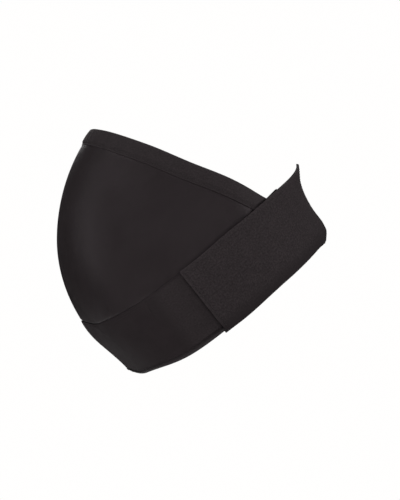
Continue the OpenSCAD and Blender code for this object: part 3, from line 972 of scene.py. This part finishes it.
def make_back(side):
    """One side's wing and tab, the seam where the wing is sewn to the band, and stitches.

    The three layers have the same stations, so that they stay clear of each other at the bend.
    """
    name = side_name(side)

    def nodes(part):
        return ["back_wing_" + part + "_" + name, "tab_" + part + "_" + name]

    end = 180 - BACK_SEAM
    rims = [TAB_FRONT + 0.15, end - 0.15]
    bend = np.arange(TAB_HINGE - BEND_BEFORE, TAB_HINGE + BEND_BEHIND, BEND_STEP)
    before = np.linspace(TAB_FRONT, TAB_HINGE - 10, 58)
    behind = np.linspace(TAB_HINGE + 0.6, end, 111)
    angles = sided(np.sort(np.concatenate([before, bend, behind, rims])), side)
    vs = spaced(-OVERHANG, 1.0, 46, CRISP)
    cover = ply(on_belt, angles, vs, WING_CLOTH, wing_relief(side))
    mesh = grid_mesh(*cover)
    # Painted shade: the plush is darker over its lower edge.
    mark(mesh, "nap_and_shade", np.broadcast_to(rise(vs, -OVERHANG, SHADED_EDGE), cover[0].shape[:2]))
    cloth = add("back_belt_cover_" + name, mesh, PLUSH, nodes("outer"), None)
    blend_tab(cloth)
    core = ply(on_belt, angles, spaced(-OVERHANG, 1.0, 14), WING_CORE, lift)
    mesh = grid_mesh(*core)
    web = add("back_belt_web_" + name, mesh, WEBBING, nodes("core"), None)
    blend_tab(web)
    skin = ply(on_belt, angles, spaced(-OVERHANG, 1.0, 26), WING_LINING, lift)
    mesh = grid_mesh(*skin)
    lining = add("back_belt_inside_" + name, mesh, SHADED_LINING, nodes("lining"), None)
    blend_tab(lining)

    out = WING_CLOTH[1]
    rows = [cross_stitches(side * at, ANCHOR_ROW_SPAN, out, *WING_STITCH) for at in ANCHOR_ROWS]
    anchor_nodes = ["seam_anchor_stitching_" + name]
    add("seam_anchor_stitches_" + name, join(rows), THREAD, anchor_nodes)
    at = TAB_FRONT + 1
    row = cross_stitches(side * at, TAB_ROW_SPAN, out + lift(at), *WING_STITCH)
    tab_nodes = ["tab_stitching_" + name]
    add("tab_end_stitches_" + name, row, THREAD, tab_nodes, "tab_" + name)

    angles = sided(spaced(ANCHOR_START, ANCHOR_END, 6), side)
    anchor = ply(on_belt, angles, np.linspace(*ANCHOR_SPAN, 24), ANCHOR_TAPE)
    mesh = grid_mesh(*anchor)
    add("seam_allowance_" + name, mesh, TAPE, ["seam_anchor_" + name])


# --- Closure ---

LANDING_PILE = 0.10 * MM
LANDING_SEAM_DIP = 0.5 * MM
# The landing sinks into the band at its front end, so that it has no step there.
LANDING_SUNK = 0.87 * MM
BACKING_SUNK = 0.6 * MM


def make_closure(side):
    """The loop landing on the band, thinning out in front of the tab, where its colour fades from
    the band's as painted light and shade, and the tab's hook tape.
    """
    name = side_name(side)
    angles = sided(spaced(LANDING_START, PATCH_END, 110), side)
    vs = np.linspace(*LANDING_SPAN, 80)

    # How full the pile is across the landing's front edge, and how far its colour has come in from
    # the band's: that colour fade is painted light and shade for the band's bend in front of the
    # tab.
    def nap_and_shade(a):
        return rise(np.abs(a), LANDING_START + 1.5, 5)

    def sunk(a):
        return 1 - rise(np.abs(a), LANDING_START, 10)

    def pile(a, v, phi, z):
        arc = a * LANDING_PER_DEGREE
        tuft = LANDING_PILE * (waves(arc, v * BELT_W, 2.2 * MM, 61 + side, 16) - 1)
        seam = LANDING_SEAM_DIP * rise(v, 0.93, 0.04)
        return (tuft - seam) * nap_and_shade(a) - LANDING_SUNK * sunk(a)

    def backing(a, v, phi, z):
        return -BACKING_SUNK * sunk(a)

    loops = ply(on_belt, angles, vs, LOOP_PATCH, pile, backing)
    mesh = grid_mesh(*loops, 0.0)
    mark(mesh, "nap_and_shade", np.broadcast_to(nap_and_shade(angles)[:, None], loops[0].shape[:2]))
    loop_piece = add("loop_landing_" + name, mesh, LANDING, ["loop_patch_" + name])

    angles = sided(spaced(PATCH_START, PATCH_END, 30), side)
    tape = ply(on_belt, angles, np.linspace(*HOOK_SPAN, 30), HOOK_TAPE, lift)
    mesh = join([grid_mesh(*tape), hook_field(side)])
    hook_nodes = ["hook_patch_" + name]
    add("hook_tape_" + name, mesh, HOOKS, hook_nodes, "tab_" + name)


def hook_field(side):
    """Rows of small bent hooks that point at the wearer."""
    a = np.linspace(PATCH_START + 0.7, PATCH_END - 0.7, 30) * side
    v = np.linspace(*HOOK_ROWS, 32)
    a, v = np.meshgrid(a, v, indexing="ij")
    phi, z = on_belt(a.ravel(), v.ravel())
    out = HOOK_TAPE[0] + lift(a.ravel())
    foot = lay(phi, z, out)
    up = -outward(phi, z)
    ahead_phi, ahead_z = on_belt(a.ravel() + 0.2, v.ravel())
    along = lay(ahead_phi, ahead_z, out) - foot
    along /= np.linalg.norm(along, axis=1, keepdims=True)
    beside = np.cross(along, up)
    # The stem's centre line and half width, from its foot to the hook's tip.
    centre = np.array([[0, 0], [0, 0.35], [0.1, 0.6], [0.32, 0.66], [0.46, 0.5]]) * MM
    half = np.array([0.17, 0.13, 0.12, 0.1, 0.06]) * MM
    square = np.array([[-1, -1], [1, -1], [1, 1], [-1, 1]])
    way = np.gradient(centre, axis=0)
    way /= np.linalg.norm(way, axis=1, keepdims=True)
    rings = []
    for (x, y), h, (wx, wy) in zip(centre, half, way):
        for s, t in square:
            rings.append((x + wy * h * s, y - wx * h * s, h * t * 1.3))
    rings = np.array(rings)
    points = (
        foot[:, None]
        + along[:, None] * rings[None, :, :1]
        + up[:, None] * rings[None, :, 1:2]
        + beside[:, None] * rings[None, :, 2:]
    )
    per = len(rings)
    quads = []
    for low in range(0, per - 4, 4):
        for k, after in ((0, 1), (1, 2), (2, 3), (3, 0)):
            quads.append([low + k, low + after, low + 4 + after, low + 4 + k])
    quads += [[3, 2, 1, 0], [per - 4, per - 3, per - 2, per - 1]]
    faces = (np.array(quads)[None] + np.arange(len(foot))[:, None, None] * per).reshape(-1, 4)
    return make_mesh("hooks", points.reshape(-1, 3), faces)


# --- Centre of the back ---

BACK_STITCH_OUT = 6.9 * MM
LABEL_HALF_THICK = 0.1 * MM
LABEL_CLEAR = 0.05 * MM
LABEL_CURL = 0.5 * MM
LABEL_SWING = 1.6 * MM


def make_centre_back():
    """The tape that covers the seam between the wings, and its two rows of stitches."""
    angles = np.linspace(180 - BACK_TAPE_HALF, 180 + BACK_TAPE_HALF, 9)
    tape = ply(on_belt, angles, spaced(-OVERHANG, 1.0, 40), BACK_TAPE)
    add("centre_back_cover", grid_mesh(*tape), TAPE, ["centre_back_tape"])
    both = (180 - BACK_ROW, 180 + BACK_ROW)
    rows = [cross_stitches(at, BACK_ROW_SPAN, BACK_STITCH_OUT) for at in both]
    add("centre_back_stitches", join(rows), THREAD, ["centre_back_stitching"])


def make_label():
    """A blank satin label, folded once and caught in the centre back seam."""
    low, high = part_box("care_label")
    x = np.linspace(low[0], high[0], 12)
    depth = high[1] - low[1]
    length = high[2] - low[2]
    r = depth / 2 * 0.8
    turn = np.linspace(0, math.pi, 9)[1:-1]
    leg = np.linspace(0, length - r, 14)
    down = np.concatenate([leg, length - r + r * np.sin(turn), leg[::-1]])
    back = np.concatenate([0 * leg, r - r * np.cos(turn), 2 * r + 0 * leg])
    xs, s = np.meshgrid(x, np.arange(len(down)), indexing="ij")
    hang = (down[s] / length) ** 2
    curl = LABEL_CURL * np.sin(xs / 6 / MM) * hang
    y = high[1] - LABEL_CLEAR - back[s] - curl * 0.4 - LABEL_SWING * hang
    middle = np.stack([xs, y, high[2] - down[s]], -1)
    du = np.gradient(middle, axis=0)
    dv = np.gradient(middle, axis=1)
    n = np.cross(du, dv)
    n /= np.linalg.norm(n, axis=-1, keepdims=True)
    mesh = grid_mesh(middle + n * LABEL_HALF_THICK, middle - n * LABEL_HALF_THICK)
    piece = add("blank_care_label", mesh, LABEL, ["care_label"])


# --- The setting ---

# The camera's lens and sensor in millimetres, and how much it sees across, in metres.
LENS = 600
SENSOR = 36
FRAMED = 0.55
CAMERA_ELEVATION = -0.8
LOOK_AT = (0, 8.8 * MM, 2.4 * MM)
FLOOR_R = 1.4
FLOOR_LEVEL = -0.62
ROOM = 0.0183
# Each soft box: its place, width and power. All of them face the origin.
SOFT_BOXES = {
    "side": ((2.0, -0.3, 2.4), 2.4, 16.3),
    "low_side": ((2.3, 1.2, -0.5), 1.4, 18.8),
    "front_side": ((2.0, -2.0, 0.7), 1.4, 1.11),
    "front": ((-0.12, -2.5, 0.45), 1.3, 5.2),
    "back": ((-0.1, 3.0, 1.2), 1.6, 36.3),
    "back_high": ((0.9, 1.9, 2.2), 1.4, 26.7),
    "front_high": ((0.4, -1.8, 2.2), 1.4, 35.5),
    "low_front": ((1.5, -1.3, -0.5), 0.9, 7.54),
    "far_side": ((-2.8, -0.2, 1.4), 2.2, 22.6),
}


def make_stage():
    """A round pale floor, well below the belt."""
    mesh = bpy.data.meshes.new("floor")
    turn = np.linspace(0, 2 * math.pi, 96, endpoint=False)
    points = [(FLOOR_R * math.cos(t), FLOOR_R * math.sin(t), FLOOR_LEVEL) for t in turn]
    mesh.from_pydata(points, [], [list(range(len(points)))])
    floor = bpy.data.objects.new("floor", mesh)
    bpy.context.scene.collection.objects.link(floor)
    n = Nodes("pale_floor")
    n.shader.inputs["Base Color"].default_value = (0.86, 0.86, 0.85, 1)
    n.shader.inputs["Roughness"].default_value = 0.9
    mesh.materials.append(n.material)


def aim(thing, place, target):
    """Puts a thing at a place, with its -Z axis towards the target."""
    thing.location = place
    way = Vector(target) - Vector(place)
    thing.rotation_mode = "QUATERNION"
    thing.rotation_quaternion = way.to_track_quat("-Z", "Y")


def make_light(name, place, size, watts):
    """A round soft box that the camera doesn't see."""
    data = bpy.data.lights.new(name, "AREA")
    data.shape = "DISK"
    data.size = size
    data.energy = watts
    lamp = bpy.data.objects.new(name, data)
    bpy.context.scene.collection.objects.link(lamp)
    aim(lamp, place, (0, 0, 0))
    lamp.visible_camera = False


def make_setting():
    """A white backdrop, a dimmer room, and soft boxes round the object."""
    scene = bpy.context.scene
    scene.view_settings.view_transform = "Standard"
    world = bpy.data.worlds.new("studio")
    world.use_nodes = True
    tree = world.node_tree
    room = tree.nodes["Background"]
    room.inputs["Color"].default_value = (1.0, 0.99, 0.98, 1)
    room.inputs["Strength"].default_value = ROOM
    backdrop = tree.nodes.new("ShaderNodeBackground")
    backdrop.inputs["Color"].default_value = (1.0, 0.995, 0.99, 1)
    seen = tree.nodes.new("ShaderNodeLightPath")
    mix = tree.nodes.new("ShaderNodeMixShader")
    tree.links.new(seen.outputs["Is Camera Ray"], mix.inputs[0])
    tree.links.new(room.outputs[0], mix.inputs[1])
    tree.links.new(backdrop.outputs[0], mix.inputs[2])
    tree.links.new(mix.outputs[0], tree.nodes["World Output"].inputs["Surface"])
    scene.world = world
    for name, (place, size, watts) in SOFT_BOXES.items():
        make_light(name, place, size, watts)


def make_camera():
    """A long lens from the wearer's left, a little below the level of the belt."""
    data = bpy.data.cameras.new("camera")
    data.lens = LENS
    data.sensor_width = SENSOR
    distance = FRAMED / (SENSOR * MM) * (LENS * MM)
    low = math.radians(CAMERA_ELEVATION)
    camera = bpy.data.objects.new("camera", data)
    bpy.context.scene.collection.objects.link(camera)
    place = (distance * math.cos(low), LOOK_AT[1], LOOK_AT[2] + distance * math.sin(low))
    aim(camera, place, LOOK_AT)
    data.clip_end = 50
    bpy.context.scene.camera = camera


make_camera()
make_setting()
make_stage()
make_panel()
make_hem()
make_band()
make_panel_seam()
for side in (1, -1):
    make_back(side)
    make_closure(side)
make_centre_back()
make_label()
